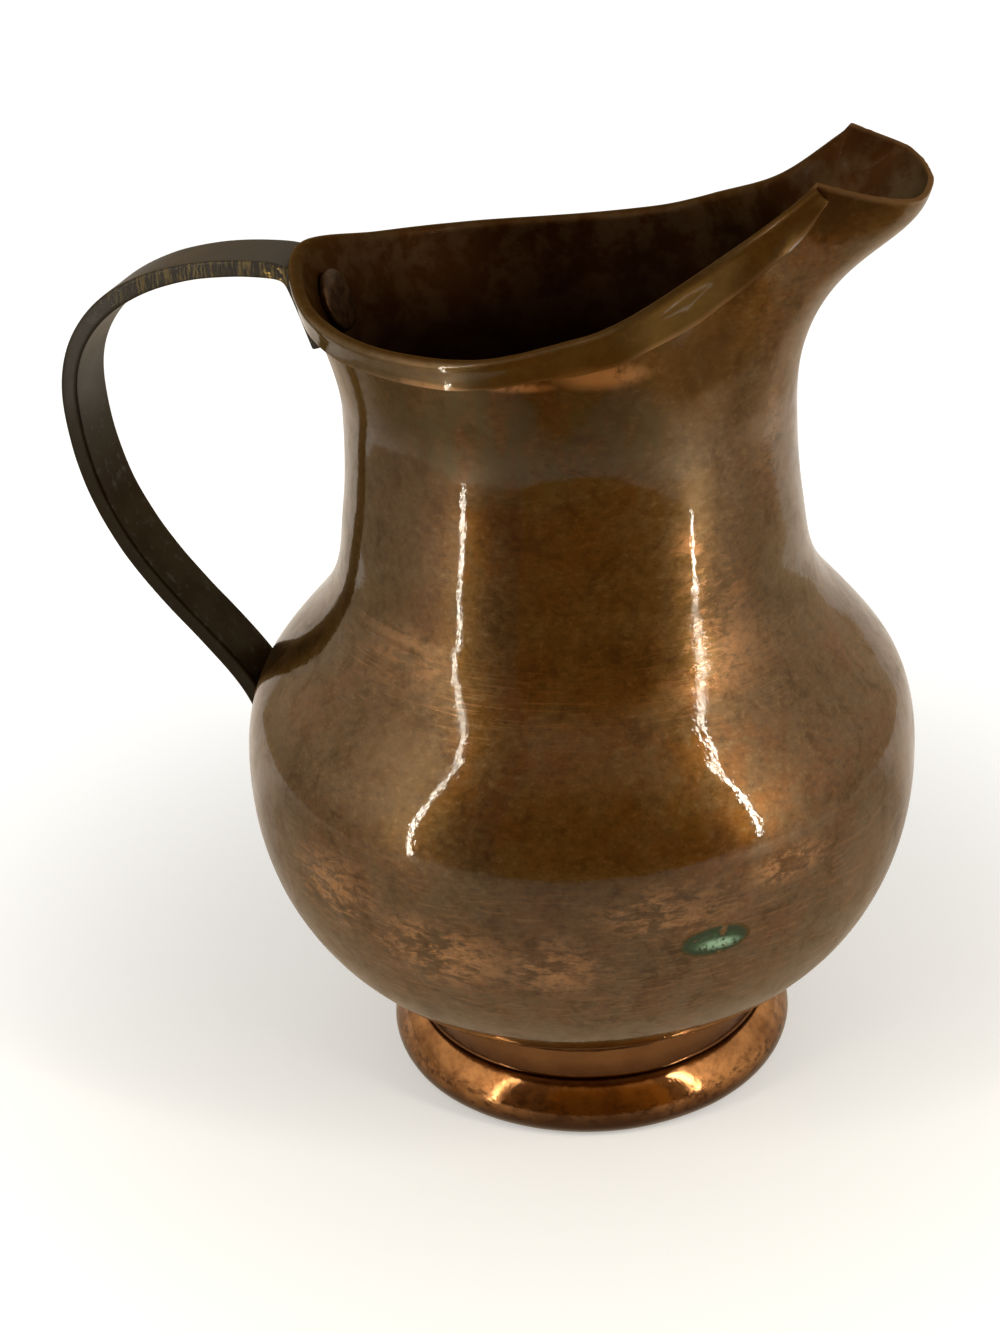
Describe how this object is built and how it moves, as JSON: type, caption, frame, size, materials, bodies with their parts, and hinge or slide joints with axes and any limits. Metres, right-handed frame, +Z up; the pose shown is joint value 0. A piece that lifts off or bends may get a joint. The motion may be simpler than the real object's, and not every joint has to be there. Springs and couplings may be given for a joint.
{
  "type": "pitcher",
  "caption": "Hand-made copper pitcher: round belly on a flared foot ring, narrow neck that opens into a pouring spout, folded rim and a flat brass strap handle.",
  "frame": {"origin": "on the surface that the pitcher stands on, under the middle of its overall length", "axes": "+Z up, +X towards the spout, the handle along -X"},
  "size_m": [0.1594, 0.1264, 0.1815],
  "materials": {
    "copper": "brown copper patina, rubbed bright in spots",
    "bright_copper": "worn and polished copper",
    "solder": "dull hard solder",
    "brass": "dark olive brass patina with file marks"
  },
  "bodies": {
    "root": {"bowl": "copper", "neck_and_spout": "copper", "shoulder_seam": "solder", "foot_ring": "bright_copper", "foot_solder": "solder", "handle": "brass", "handle_solder": "solder", "handle_rivet": "brass"}
  },
  "joints": []
}
